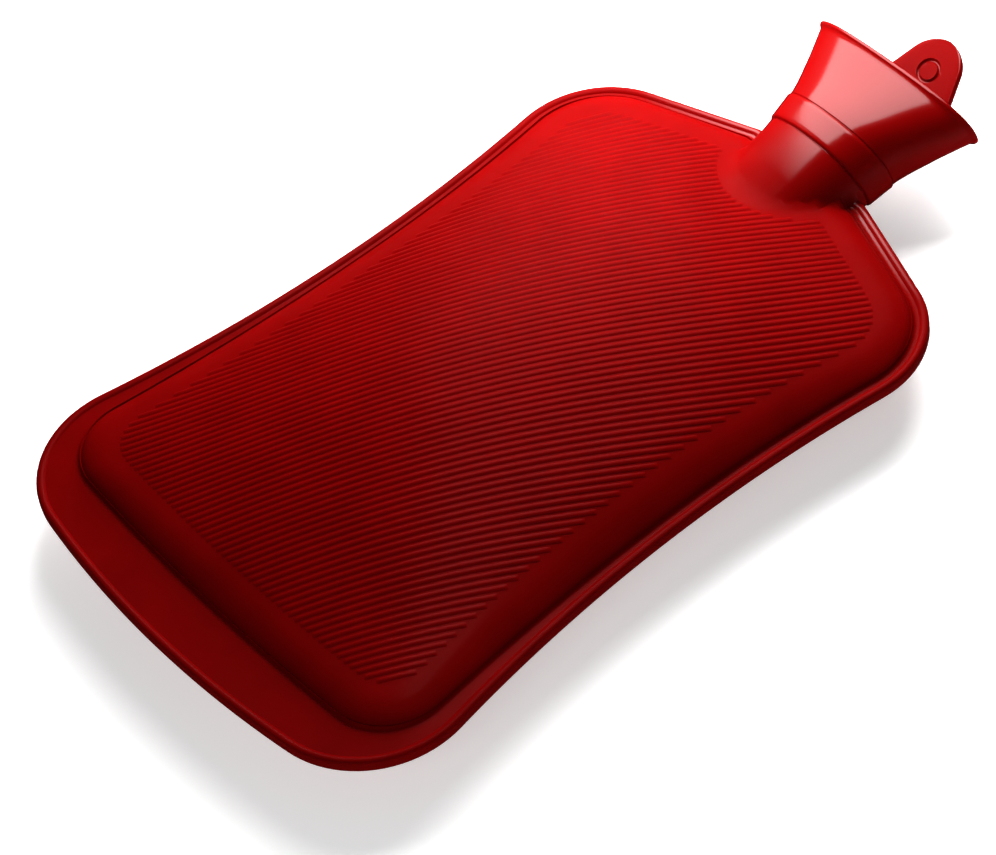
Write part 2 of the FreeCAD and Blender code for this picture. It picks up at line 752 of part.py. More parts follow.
def make_bag():
    """The bag with its neck, funnel and tab: one rubber moulding."""
    pillow_outside = pillow("pillow", "0")
    pillow_inside = pillow("cavity", "@wall")
    outside = joined("outside", [pillow_outside, make_welt()] + make_neck() + [make_tab()])
    inside = joined("inside", [pillow_inside] + make_hollow())
    smooth_bag = solid_of("Part::Cut", "smooth_bag", Base=outside, Tool=inside, Refine=False)
    bag = joined("rubber_bag", [smooth_bag, make_ribs()])
    finish_in_seam(bag)
    return bag


def make_insert():
    """Ferrule held in the neck by two grooves that the rubber fills."""
    bore = "@thread_radius + @thread_clearance"
    insert = revolved("neck_insert", [(bore, "@insert_foot")] + INSERT_SIDE + [(bore, "@insert_top")])
    finish_on_bore(insert)
    return insert


def make_washer():
    """Flat rubber ring between the insert and the stopper's flange."""
    hole = "@thread_radius + @washer_clearance"
    washer = revolved(
        "stopper_washer",
        [
            (hole, "@insert_top"),
            ("@washer_radius", "@insert_top"),
            ("@washer_radius", "@washer_top"),
            (hole, "@washer_top"),
        ],
    )
    finish_on_bore(washer)
    return washer


def make_stopper():
    """Screw stopper: a shank, a flange that presses the washer, and a flat grip."""
    foot = "@insert_top - @shank_length"
    stopper = revolved(
        "stopper",
        [
            ("0", foot),
            ("@thread_radius - @shank_chamfer", foot),
            ("@thread_radius", foot + " + @shank_chamfer"),
            ("@thread_radius", "@washer_top"),
            ("@plug_flange_radius", "@washer_top"),
            ("@plug_flange_radius", "@plug_top"),
            ("0", "@plug_top"),
        ],
    )
    grip = add_sketch(stopper, "grip_profile", "XZ_Plane")
    left, right = "-@wing_width / 2", "@wing_width / 2"
    top = "@plug_top + @wing_height"
    root = "@washer_top + @edge_rounding"
    polygon(grip, [(left, root), (right, root), (right, top), (left, top)])
    wing = stopper.newObject("PartDesign::Pad", "grip")
    wing.Profile = grip
    wing.SideType = "Symmetric"
    bind(wing, "Length", "@wing_thickness")
    doc.recompute()
    highest = value(top)
    corners = round_in_body(
        stopper,
        "grip_corners",
        wing,
        "@wing_corner",
        lambda edge: edge.BoundBox.YLength > size("wing_thickness") - 0.01
        and edge.BoundBox.DiagonalLength < size("wing_thickness") + 0.01
        and edge.BoundBox.ZMax > highest - 0.01,
    )
    round_in_body(
        stopper,
        "soft_edges",
        corners,
        "@edge_rounding",
        lambda edge: edge.BoundBox.ZMax > value("@plug_top") - 0.01
        and abs(abs(edge.CenterOfMass.y) - size("wing_thickness") / 2) < 0.01
        and edge.BoundBox.ZMax > value("@plug_top") + 0.01,
    )
    finish_on_bore(stopper)
    return stopper


def round_in_body(body, name, base, radius, wanted):
    """Fillet, inside a body, of the edges of a feature that a test picks."""
    doc.recompute()
    names = ["Edge%d" % number for number, edge in enumerate(base.Shape.Edges, 1) if wanted(edge)]
    fillet = body.newObject("PartDesign::Fillet", name)
    fillet.Base = (base, names)
    bind(fillet, "Radius", radius)
    doc.recompute()
    return fillet


def check(pieces):
    """Raise if any feature failed or any piece is null or invalid."""
    for thing in doc.Objects:
        if "Invalid" in thing.State or "Error" in thing.State:
            raise RuntimeError("%s failed: %s" % (thing.Label, thing.State))
    for piece in pieces:
        shape = piece.Shape
        if shape.isNull() or not shape.isValid():
            raise RuntimeError("%s is null or invalid" % piece.Label)
        if len(shape.Solids) != 1:
            raise RuntimeError("%s is %d solids" % (piece.Label, len(shape.Solids)))


fill_sheet()
pieces = [make_bag(), make_insert(), make_washer(), make_stopper()]
doc.recompute()
check(pieces)
os.makedirs("parts", exist_ok=True)
for piece in pieces:
    piece.Shape.exportStep("parts/%s.step" % piece.Label)
    print(piece.Label, round(piece.Shape.Volume), "mm3", len(piece.Shape.Faces), "faces")
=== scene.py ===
"""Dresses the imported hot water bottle: rubber bag, stopper, washer and insert, with stage and camera."""

import math

import bmesh
import bpy
import numpy as np
from bpy.props import FloatProperty, FloatVectorProperty, PointerProperty
from mathutils import Matrix, Vector
from mathutils.bvhtree import BVHTree


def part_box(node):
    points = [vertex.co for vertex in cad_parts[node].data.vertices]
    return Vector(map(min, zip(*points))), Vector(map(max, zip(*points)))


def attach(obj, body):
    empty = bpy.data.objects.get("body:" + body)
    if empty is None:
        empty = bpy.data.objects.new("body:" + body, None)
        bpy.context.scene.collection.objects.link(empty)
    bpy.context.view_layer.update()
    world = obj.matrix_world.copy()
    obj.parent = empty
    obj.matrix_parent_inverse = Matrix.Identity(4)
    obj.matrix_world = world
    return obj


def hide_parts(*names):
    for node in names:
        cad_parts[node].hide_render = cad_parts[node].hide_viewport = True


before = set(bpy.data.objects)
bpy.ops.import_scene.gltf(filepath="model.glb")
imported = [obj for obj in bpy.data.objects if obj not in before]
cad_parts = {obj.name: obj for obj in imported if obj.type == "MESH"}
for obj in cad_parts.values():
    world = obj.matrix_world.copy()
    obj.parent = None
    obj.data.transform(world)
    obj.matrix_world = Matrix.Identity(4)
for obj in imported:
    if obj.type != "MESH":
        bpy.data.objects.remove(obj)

bl_info = {
    "name": "Rubber hot water bottle",
    "version": (1, 0, 0),
    "blender": (4, 5, 0),
    "location": "View3D > Sidebar > Bottle",
    "description": "Models a moulded rubber hot water bottle and its screw stopper round the packed frame",
    "category": "Add Mesh",
}

MM = 0.001
BAG_LOW, BAG_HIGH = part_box("rubber_bag")
FOOT_Y = BAG_LOW[1] / MM


# Sizes, in millimetres unless they say otherwise


def length(name, default, description):
    """Property for a length in metres, given in millimetres."""
    return FloatProperty(name=name, default=default * MM, description=description, unit="LENGTH", precision=4)


def slant(name, default, description):
    """Property for an angle, given in degrees."""
    return FloatProperty(name=name, default=math.radians(default), description=description, unit="ROTATION")


class BagSizes(bpy.types.PropertyGroup):
    """Sizes of the flat bag, in the seam's frame: from its foot, and from its seam plane."""

    seam_height: length("Seam height", 18.0, "Height of the seam plane over the table")
    low_width: length("Low width", 195.0, "Width across the lower corners")
    low_radius: length("Low radius", 38.0, "Radius of the lower corners")
    foot_bow: length("Foot bow", 4.5, "How far the foot bows out")
    waist_width: length("Waist width", 173.6, "Width at the waist")
    waist_station: length("Waist station", 156.0, "Distance of the waist from the foot")
    shoulder_width: length("Shoulder width", 184.8, "Width across the shoulders")
    shoulder_radius: length("Shoulder radius", 35.0, "Radius of the shoulder corners")
    shoulder_slope: slant("Shoulder slope", 18.6, "Slope of the shoulders")
    root_width: length("Root width", 53.0, "Width of the welt where it meets the neck")
    root_station: length("Root station", 284.6, "Distance of the welt's end from the foot")
    flange: length("Flange", 3.2, "Thickness of the flange")
    bead: length("Bead", 4.8, "Thickness of the bead along the edge")
    bead_width: length("Bead width", 3.2, "Width of the bead")
    side_flange: length("Side flange", 5.6, "Width of the flange at the sides")
    low_side_flange: length("Low side flange", 9.5, "Width of the flange beside the lower corners")
    foot_flange: length("Foot flange", 21.8, "Width of the flange at the foot")
    pillow_radius: length("Pillow radius", 22.0, "Radius of the pillow's lower corners")
    pillow_bow: length("Pillow bow", 2.2, "How far the pillow's foot bows out")
    pillow_edge: length("Pillow edge", 5.0, "Height of the crown along the pillow's edge")
    front_crown: length("Front crown", 22.0, "Height of the front crown")
    back_crown: length("Back crown", 20.5, "Height of the back crown")
    roll: length("Roll", 9.0, "Width over which the pillow's edge rounds over")
    wall: length("Wall", 2.2, "Thickness of the rubber")


class RibSizes(bpy.types.PropertyGroup):
    """Sizes of the ribs on the front panel."""

    pitch: length("Pitch", 2.56, "Distance from rib to rib")
    width: length("Width", 2.2, "Width of a rib at its foot")
    height: length("Height", 0.32, "Height of a rib")
    band: length("Band", 12.5, "Smooth band between the pillow's edge and the ribs")
    radius: length("Radius", 14.0, "Radius of the ribbed field's lower corners")
    neck_radius: length("Neck radius", 27.0, "Smooth area round the neck")
    angle: slant("Angle", 28.3, "Slant of the ribs")


class NeckSizes(bpy.types.PropertyGroup):
    """Sizes of the neck and funnel. Stations run up the bore."""

    station: length("Neck station", 278.0, "Distance of the bore's base from the foot")
    drop: length("Neck drop", 0.9, "How far the bore's base lies behind the seam plane")
    tilt: slant("Tilt", 16.5, "Rise of the bore")
    band_low: length("Band low", 10.5, "Station of the band's lower edge")
    band_high: length("Band high", 21.0, "Station of the band's upper edge")
    band_step: length("Band step", 0.6, "Height of the band over the neck")
    rim: length("Rim", 50.0, "Station of the funnel's rim")
    rim_bead: length("Rim bead", 0.8, "Height of the rolled rim")
    wall: length("Wall", 1.9, "Thickness of the funnel")
    insert_foot: length("Insert foot", 7.0, "Station of the insert's foot")
    insert_top: length("Insert top", 22.0, "Station of the insert's top")
    insert_radius: length("Insert radius", 14.0, "Radius of the insert")
    lip_radius: length("Lip radius", 11.4, "Radius of the rubber lip under the insert")


class TabSizes(bpy.types.PropertyGroup):
    """Sizes of the hanging tab behind the rim."""

    radius: length("Radius", 12.3, "Radius of the tab's round end")
    centre: length("Centre", 61.5, "Station of the round end's centre")
    thickness: length("Thickness", 3.0, "Thickness of the tab")
    face: length("Face", 9.0, "Distance of the tab's face from the bore")
    lean: slant("Lean", 12.0, "Lean to the front")
    spread: slant("Spread", 21.0, "Slant of the sides")
    ring_radius: length("Ring radius", 4.0, "Middle radius of the ring's groove")
    ring_groove: length("Ring groove", 0.75, "Radius of the ring's groove in section")


class StopperSizes(bpy.types.PropertyGroup):
    """Sizes of the stopper, its washer and the thread."""

    thread_radius: length("Thread radius", 10.2, "Outer radius of the stopper's thread")
    thread_depth: length("Thread depth", 1.0, "Depth of the stopper's thread")
    pitch: length("Pitch", 4.0, "Pitch of the thread")
    shank: length("Shank", 16.5, "Length of the shank inside the insert")
    tip_radius: length("Tip radius", 8.2, "Radius of the shank's tip")
    collar_radius: length("Collar radius", 9.4, "Radius of the plain shank inside the washer")
    flange: length("Flange", 2.8, "Thickness of the flange")
    flange_radius: length("Flange radius", 12.0, "Radius of the flange")
    washer: length("Washer", 2.0, "Thickness of the washer")
    washer_bore: length("Washer bore", 10.55, "Radius of the washer's hole")
    washer_radius: length("Washer radius", 12.2, "Outer radius of the washer")
    grip_width: length("Grip width", 18.0, "Width of the grip")
    grip_thickness: length("Grip thickness", 6.0, "Thickness of the grip")
    grip_height: length("Grip height", 17.5, "Height of the grip over the flange")
    grip_corner: length("Grip corner", 6.5, "Radius of the grip's upper corners")
    grip_dish: length("Grip dish", 0.9, "Depth of the dish in each face of the grip")


class Finish(bpy.types.PropertyGroup):
    """Colours of the rubber and the stopper."""

    rubber: FloatVectorProperty(
        name="Rubber", default=(0.14, 0.0006, 0.0007), description="Colour of the bag", subtype="COLOR"
    )
    stopper: FloatVectorProperty(
        name="Stopper", default=(0.02, 0.02, 0.022), description="Colour of the stopper", subtype="COLOR"
    )


GROUPS = {
    "bottle_bag": BagSizes,
    "bottle_ribs": RibSizes,
    "bottle_neck": NeckSizes,
    "bottle_tab": TabSizes,
    "bottle_stopper": StopperSizes,
    "bottle_finish": Finish,
}


def sizes(group):
    """The lengths of a group in millimetres, its angles in radians."""
    owner = getattr(bpy.context.scene, group)
    values = {}
    for name, prop in owner.bl_rna.properties.items():
        if prop.type == "FLOAT" and not prop.is_array:
            factor = 1 / MM if prop.unit == "LENGTH" else 1
            values[name] = getattr(owner, name) * factor
    return type("Sizes", (), values)


# Outlines and surfaces of the bag, in millimetres in the seam's frame

SAMPLES = {"top": 9, "shoulder": 26, "corner": 16, "upper": 34, "lower": 34, "toe": 22, "sole": 26}


def arc(centre, start, end, count):
    """Points along the shorter arc about a centre, without its end."""
    first = math.atan2(start[1] - centre[1], start[0] - centre[0])
    last = math.atan2(end[1] - centre[1], end[0] - centre[0])
    sweep = (last - first + math.pi) % (2 * math.pi) - math.pi
    radius = math.hypot(start[0] - centre[0], start[1] - centre[1])
    angles = first + sweep * np.arange(count) / count
    return np.column_stack([centre[0] + radius * np.cos(angles), centre[1] + radius * np.sin(angles)])


def straight(start, end, count):
    """Points along a line, without its end."""
    steps = np.arange(count)[:, None] / count
    return np.array(start) + steps * (np.array(end) - np.array(start))


def waist_radius(corner, radius, waist):
    """Radius of the hollow arc that is upright at the waist and touches a corner arc."""
    inset, rise = waist[0] - corner[0], waist[1] - corner[1]
    return (inset**2 + rise**2 - radius**2) / (2 * (radius - inset))


def outline(side, low, foot, bow, low_radius):
    """Points round the hourglass outline, inset at the sides, the lower corners and the foot."""
    bag = sizes("bottle_bag")
    up = np.array([math.sin(bag.shoulder_slope), math.cos(bag.shoulder_slope)])
    root = np.array([bag.root_width / 2, bag.root_station - side / up[1]])
    high_radius = bag.shoulder_radius - side
    high = np.array([bag.shoulder_width / 2 - bag.shoulder_radius, 0.0])
    high[1] = (root @ up - high_radius - high[0] * up[0]) / up[1]
    waist = np.array([bag.waist_width / 2 - side, bag.waist_station])
    toe = np.array([bag.low_width / 2 - low - low_radius, foot + bow + low_radius])
    rise = toe[1] - foot
    sole_radius = (toe[0] ** 2 + rise**2 - low_radius**2) / (2 * (rise - low_radius))
    sole = np.array([0.0, foot + sole_radius])
    upper = waist + [waist_radius(high, high_radius, waist), 0]
    lower = waist + [waist_radius(toe, low_radius, waist), 0]

    def towards(centre, other, radius):
        step = other - centre
        return centre + step / np.linalg.norm(step) * radius

    high_start = high + up * high_radius
    high_end = towards(high, upper, high_radius)
    toe_start = towards(toe, lower, low_radius)
    toe_end = toe + (toe - sole) / np.linalg.norm(toe - sole) * low_radius
    bottom = np.array([0.0, foot])
    half = np.vstack(
        [
            straight([0.0, root[1]], root, SAMPLES["top"]),
            straight(root, high_start, SAMPLES["shoulder"]),
            arc(high, high_start, high_end, SAMPLES["corner"]),
            arc(upper, high_end, waist, SAMPLES["upper"]),
            arc(lower, waist, toe_start, SAMPLES["lower"]),
            arc(toe, toe_start, toe_end, SAMPLES["toe"]),
            arc(sole, toe_end, bottom, SAMPLES["sole"]),
            [bottom],
        ]
    )
    other = half[-2:0:-1] * [-1, 1]
    return np.vstack([half, other])


def welt_outline(inset):
    """Outline of the welt, moved in."""
    bag = sizes("bottle_bag")
    return outline(inset, inset, inset, bag.foot_bow, bag.low_radius - inset)


def pillow_outline(inset):
    """Outline of the pillow, moved in as far as the ribbed field's."""
    bag, ribs = sizes("bottle_bag"), sizes("bottle_ribs")
    share = inset / ribs.band
    radius = bag.pillow_radius + (ribs.radius - bag.pillow_radius) * share
    return outline(
        bag.side_flange + inset, bag.low_side_flange + inset, bag.foot_flange + inset, bag.pillow_bow, radius
    )


def crown(points, top):
    """Height of a crowned panel over the seam plane, at points of the bag."""
    bag = sizes("bottle_bag")
    foot = bag.foot_flange
    head = bag.root_station - bag.side_flange / math.cos(bag.shoulder_slope)
    along = (points[:, 1] - foot) / (head - foot)
    waist = (bag.waist_station - foot) / (head - foot)
    waist_curve = (bag.waist_width / 2 - bag.side_flange) ** -2
    foot_curve = (bag.low_width / 2 - bag.low_side_flange) ** -2
    bend = waist_curve + (foot_curve - waist_curve) * (along / waist - 1) ** 2
    swell = 4 * along * (1 - along) * (1 - points[:, 0] ** 2 * bend)
    return bag.pillow_edge + (top - bag.pillow_edge) * swell


# Across the bead: inset from the welt's outline as a share of the bead's width, and height over the seam
# plane as a share of half its thickness
BEAD_PROFILE = [
    (0.0, 0.0),
    (0.0, 0.541667),
    (0.0625, 0.791667),
    (0.21875, 0.958333),
    (0.5, 1.0),
    (0.75, 0.9375),
    (0.90625, 0.791667),
    (1.0, 0.6875),
]
# At the foot of the pillow's wall: inset from its outline and height over the seam plane
WALL_FOOT = [(-1.5, 1.6), (-0.9, 1.7), (-0.35, 2.1), (-0.05, 2.9)]
# Insets from the pillow's outline, over its rounded edge
ROLL_STEPS = [0.25, 0.8, 1.6, 2.7, 4.0, 5.5, 7.2, 9.0, 10.7, 12.5]
# Insets of the space inside, after the wall, and shares of the way from the last one to the spine
CAVITY_STEPS = [4.0, 8.0, 12.5]
CAVITY_SHARES = [0.25, 0.5, 0.75, 1.0]
INNER_RINGS = 26
# Stations of the ends of the line in the middle of a panel, where its rings close
SPINE = (92.0, 212.0)
# Height that no panel reaches, for a side that no table flattens
NO_TABLE = 1e3


def level(flat, height):
    """Ring of points at one height, or at a height each."""
    return np.column_stack([flat, np.broadcast_to(height, len(flat))])


def nearer_spine(field, share):
    """Outline drawn in towards the line in the middle of the panel."""
    spine = np.column_stack([np.zeros(len(field)), np.clip(field[:, 1], *SPINE)])
    return field + (spine - field) * share


def panel_rows(top, table):
    """Rings of points of one side of the bag, from its edge to its middle."""
    bag = sizes("bottle_bag")
    rows = []
    for inset, height in BEAD_PROFILE:
        rows.append(level(welt_outline(inset * bag.bead_width), height * bag.bead / 2))
    for inset, height in WALL_FOOT:
        rows.append(level(pillow_outline(inset), height))
    base = bag.flange / 2
    for inset in ROLL_STEPS:
        field = pillow_outline(inset)
        share = min(inset / bag.roll, 1.0)
        rounding = math.sqrt(1 - (1 - share) ** 2)
        rows.append(level(field, base + (crown(field, top) - base) * rounding))
    for number in range(1, INNER_RINGS + 1):
        flat = nearer_spine(field, number / INNER_RINGS)
        rows.append(level(flat, crown(flat, top)))
    for row in rows:
        row[:, 2] = np.minimum(row[:, 2], table)
    return rows


def cavity_rows(top, table, towards):
    """Rings of points of one side of the space inside the bag."""
    bag = sizes("bottle_bag")
    flats = [pillow_outline(inset) for inset in (bag.wall, *CAVITY_STEPS)]
    flats += [nearer_spine(flats[-1], share) for share in CAVITY_SHARES]
    return [level(flat, towards * (np.minimum(crown(flat, top), table) - bag.wall)) for flat in flats]


def to_scene(points):
    """Points from the seam's frame, in millimetres, to the scene, in metres."""
    return (points + [0, FOOT_Y, sizes("bottle_bag").seam_height]) * MM


def along_bore(points):
    """Points from the bore's frame (across, to the back, up the bore) to the seam's frame."""
    neck = sizes("bottle_neck")
    c, s = math.cos(neck.tilt), math.sin(neck.tilt)
    x, back, up = points.T
    return np.column_stack([x, neck.station + up * c + back * s, up * s - back * c - neck.drop])


# Mesh helpers


def start():
    """Leave edit mode and select nothing."""
    if bpy.context.object and bpy.context.object.mode != "OBJECT":
        bpy.ops.object.mode_set(mode="OBJECT")
    bpy.ops.object.select_all(action="DESELECT")


def skin(name, rows, close_start=True, close_end=True):
    """Surface through rings of points: a circle, extruded ring by ring, its ends filled."""
    start()
    count = len(rows[0])
    bpy.ops.mesh.primitive_circle_add(vertices=count, radius=0.1)
    piece = bpy.context.object
    piece.name = piece.data.name = name
    bpy.ops.object.mode_set(mode="EDIT")
    mesh = bmesh.from_edit_mesh(piece.data)
    place = mesh.verts.layers.int.new("place")
    for number, vert in enumerate(mesh.verts):
        vert[place] = number
        vert.co = rows[0][number]
    for row in rows[1:]:
        bpy.ops.mesh.extrude_region()
        mesh = bmesh.from_edit_mesh(piece.data)
        place = mesh.verts.layers.int["place"]
        for vert in mesh.verts:
            if vert.select:
                vert.co = row[vert[place]]
    if close_end:
        bpy.ops.mesh.edge_face_add()
    bmesh.update_edit_mesh(piece.data)
    bpy.ops.mesh.select_all(action="DESELECT")
    if close_start:
        bpy.ops.mesh.select_non_manifold(extend=False)
        bpy.ops.mesh.edge_face_add()
    bpy.ops.mesh.select_all(action="SELECT")
    bpy.ops.mesh.remove_doubles(threshold=1e-6)
    bpy.ops.mesh.dissolve_degenerate(threshold=1e-6)
    bpy.ops.mesh.normals_make_consistent(inside=False)
    bpy.ops.object.mode_set(mode="OBJECT")
    piece.data.attributes.remove(piece.data.attributes["place"])
    return piece


def combine(piece, others, operation):
    """Boolean of a piece with others, which are deleted."""
    for other in others:
        start()
        bpy.context.view_layer.objects.active = piece
        piece.select_set(True)
        step = piece.modifiers.new(operation.title(), "BOOLEAN")
        step.operation = operation
        step.solver = "EXACT"
        step.object = other
        bpy.ops.object.modifier_apply(modifier=step.name)
        bpy.data.objects.remove(other, do_unlink=True)


def join(piece, others):
    """Join others into a piece."""
    start()
    for other in others:
        other.select_set(True)
    piece.select_set(True)
    bpy.context.view_layer.objects.active = piece
    bpy.ops.object.join()


def smooth(piece, angle):
    """Shade smooth, but for edges sharper than an angle in degrees."""
    start()
    piece.select_set(True)
    bpy.context.view_layer.objects.active = piece
    bpy.ops.object.shade_smooth_by_angle(angle=math.radians(angle))


# Neck, funnel and tab, in millimetres in the bore's frame

RING = 96
# Station, width, thickness, how far the section lies to the front, and how square it is (2 for an ellipse)
NECK_SECTIONS = np.array(
    [
        (-28.0, 39.0, 19.0, 8.5, 2.0),
        (0.0, 43.0, 31.0, 2.5, 2.1),
        (10.5, 46.0, 36.0, 0.0, 2.2),
        (21.0, 49.2, 35.4, 0.0, 2.3),
        (35.0, 60.8, 31.8, -0.2, 2.4),
        (50.0, 76.0, 28.2, -0.4, 2.5),
    ]
)
# Up the neck: distance from the band's edge or from the rim, and height as a share of the band's or the roll's.
# Below 0 is a groove.
BAND_FOOT = [(-0.35, -0.5), (-0.1, -0.583333), (0.1, 0.333333), (0.35, 0.8), (0.8, 1.0)]
BAND_TOP = [(-0.7, 1.0), (-0.3, 0.7), (-0.1, -0.333333), (0.2, -0.5), (0.5, 0.0)]
RIM_ROLL = [(-1.7, 0.3), (-1.3, 0.85), (-0.8, 1.0), (-0.3, 0.85), (0.0, 0.35), (0.08, -0.375)]
# Width and thickness of the funnel's floor, and the station where its walls fold in towards it
FUNNEL_FLOOR = (38.0, 30.0)
FUNNEL_FOLD = 35.0
NECK_WALL = 2.6
# Station where the round passage under the insert opens into the neck
PASSAGE_END = 4.0
# Distance of the tab's face from the bore where it leaves the rim, the length of its bend, the length that is
# sunk in the rim, and the radius of its edges
TAB_ROOT = 13.3
TAB_BEND = 5.0
TAB_SUNK = 5.0
TAB_EDGE = 1.1


def eased(at, stations, values):
    """Smooth curve through values at stations that never swings past them."""
    gaps = np.diff(stations)
    rises = np.diff(values) / gaps
    slopes = np.zeros(len(values))
    slopes[0], slopes[-1] = rises[0], rises[-1]
    for number in range(1, len(values) - 1):
        before, after = rises[number - 1], rises[number]
        if before * after > 0:
            slopes[number] = 2 * before * after / (before + after)
    number = int(np.clip(np.searchsorted(stations, at) - 1, 0, len(gaps) - 1))
    share = (at - stations[number]) / gaps[number]
    rest = 1 - share
    ends = (1 + 2 * share) * rest**2 * values[number] + share**2 * (3 - 2 * share) * values[number + 1]
    leans = share * rest**2 * slopes[number] - share**2 * rest * slopes[number + 1]
    return ends + leans * gaps[number]


def neck_section(station, extra=0.0):
    """Ring round the neck at a station, raised over its surface by extra."""
    width, thickness, forward, square = section_at(station)
    return oval(station, width + 2 * extra, thickness + 2 * extra, forward, square)


def section_at(station):
    """Width, thickness, shift to the front and squareness of the neck at a station."""
    return [eased(station, NECK_SECTIONS[:, 0], NECK_SECTIONS[:, k]) for k in (1, 2, 3, 4)]


def oval(station, width, thickness, forward=0.0, square=2.0):
    """Ring across the bore: an ellipse, or a squarer oval."""
    angles = 2 * math.pi * np.arange(RING) / RING

    def shaped(wave):
        return np.sign(wave) * np.abs(wave) ** (2 / square)

    across, back = width / 2 * shaped(np.cos(angles)), thickness / 2 * shaped(np.sin(angles)) - forward
    return along_bore(np.column_stack([across, back, np.full(RING, station)]))


def neck_rows():
    """Rings up the outside of the neck: a band between two grooves, the funnel and its rolled rim."""
    neck = sizes("bottle_neck")
    low, high, step, rim = neck.band_low, neck.band_high, neck.band_step, neck.rim
    steps = [(station, 0.0) for station in np.linspace(NECK_SECTIONS[0, 0], low - 0.6, 16)]
    steps += [(low + distance, step * share) for distance, share in BAND_FOOT]
    steps += [(station, step) for station in np.linspace(low + 2.0, high - 1.8, 4)]
    steps += [(high + distance, step * share) for distance, share in BAND_TOP]
    steps += [(station, 0.0) for station in np.linspace(high + 1.5, rim - 2.2, 16)]
    steps += [(rim + distance, neck.rim_bead * share) for distance, share in RIM_ROLL]
    return [neck_section(station, extra) for station, extra in steps]


def hollow_rows():
    """Rings down the space in the neck: the funnel, the insert's seat, the lip and the passage."""
    neck = sizes("bottle_neck")
    top, foot, rim, wall = neck.insert_top, neck.insert_foot, neck.rim, neck.wall
    rows = []
    for station in np.linspace(rim + 2.0, FUNNEL_FOLD, 12):
        width, thickness, forward, square = section_at(min(station, rim))
        spread = max(station - rim, 0.0)
        rows.append(oval(station, width - 2 * wall + spread, thickness - 2 * wall + spread, forward, square))
    *outer, forward, square = section_at(FUNNEL_FOLD)
    for share in np.linspace(0.9, 0.0, 7):
        station = top + (FUNNEL_FOLD - top) * share
        sides = [low + (high - 2 * wall - low) * share for low, high in zip(FUNNEL_FLOOR, outer)]
        rows.append(oval(station, *sides, forward * share, square))
    seat, lip = 2 * neck.insert_radius, 2 * neck.lip_radius
    rows += [oval(top, seat, seat), oval(foot, seat, seat), oval(foot, lip, lip), oval(PASSAGE_END, lip, lip)]
    for station, width, thickness, forward, square in NECK_SECTIONS[1::-1]:
        rows.append(oval(station, width - 2 * NECK_WALL, thickness - 2 * NECK_WALL, forward, square))
    return rows


def tab_rows():
    """Rings up the hanging tab: a flat tongue that rises from the rim's back, narrows and ends round."""
    neck, tab = sizes("bottle_neck"), sizes("bottle_tab")
    shoulder = tab.centre + tab.radius * math.sin(tab.spread)
    stations = list(np.linspace(neck.rim - TAB_SUNK, shoulder, 24))
    angles = np.linspace(tab.spread, math.pi / 2, 18)[1:]
    stations += [tab.centre + tab.radius * math.sin(angle) for angle in angles]
    rows = []
    for station in stations:
        if station < shoulder:
            half = tab.radius * math.cos(tab.spread) + (shoulder - station) * math.tan(tab.spread)
        else:
            half = math.sqrt(max(tab.radius**2 - (station - tab.centre) ** 2, 0.01))
        rows.append(tongue_section(station, half, tab_face(station), tab.thickness))
    return rows


def tab_face(station):
    """Distance of the tab's front face behind the bore: it leans forward once it is over the rim."""
    neck, tab = sizes("bottle_neck"), sizes("bottle_tab")
    leaning = tab.face + (tab.centre - station) * math.tan(tab.lean)
    bend = np.clip((station - neck.rim) / TAB_BEND, 0, 1)
    blend = bend * bend * (3 - 2 * bend)
    return TAB_ROOT + (leaning - TAB_ROOT) * blend


def tongue_section(station, half, face, thickness):
    """Ring round the tongue, its edges rounded."""
    edge = min(TAB_EDGE, half * 0.9)
    across = np.linspace(-1, 1, 13) * (half - edge)
    angles = np.linspace(math.pi / 2, -math.pi / 2, 9)[1:-1]
    middle = face + thickness / 2
    near = np.column_stack([across, np.full(13, face)])
    far = np.column_stack([across[::-1], np.full(13, face + thickness)])
    right = np.column_stack([half - edge + edge * np.cos(angles), middle - thickness / 2 * np.sin(angles)])
    left = np.column_stack([-(half - edge) - edge * np.cos(angles), middle + thickness / 2 * np.sin(angles)])
    flat = np.vstack([near, right, far, left])
    return along_bore(np.column_stack([flat, np.full(len(flat), station)]))


# Ribs

# Across a rib, as shares of its width and height
RIB_FLANK = [(0.5, -0.6), (0.46, 0.1), (0.3, 0.6), (0.12, 0.93)]
RIB_PROFILE = [(-across, rise) for across, rise in RIB_FLANK] + RIB_FLANK[::-1]
# The ends of a rib: distance from its end, and share of its full height
RIB_ENDS = [(0.0, 0.1), (0.5, 0.6), (1.2, 1.0)]
SHORTEST_RIB = 3.0
RIB_STEP = 8.0
RIBBED_LENGTH = 260.0


def rib_stretches(offset):
    """Starts and ends, along a rib's line, of its stretches inside the ribbed field."""
    ribs, neck, bag = sizes("bottle_ribs"), sizes("bottle_neck"), sizes("bottle_bag")
    run = np.array([math.sin(ribs.angle), math.cos(ribs.angle)])
    side = np.array([run[1], -run[0]])
    middle = np.array([0.0, bag.root_station / 2])
    field = pillow_outline(ribs.band)
    distance = (field - middle) @ side - offset
    along = (field - middle) @ run
    crossings = []
    for k in range(len(field)):
        after = (k + 1) % len(field)
        if distance[k] * distance[after] < 0:
            share = distance[k] / (distance[k] - distance[after])
            crossings.append(along[k] + (along[after] - along[k]) * share)
    crossings.sort()
    pairs = [tuple(crossings[k : k + 2]) for k in range(0, len(crossings) - 1, 2)]
    base = np.array([0.0, neck.station]) - middle
    miss = base @ side - offset
    if abs(miss) < ribs.neck_radius:
        reach = base @ run - math.sqrt(ribs.neck_radius**2 - miss**2)
        pairs = [(low, min(high, reach)) for low, high in pairs]
    return [(low, high) for low, high in pairs if high - low > SHORTEST_RIB], middle, run, side


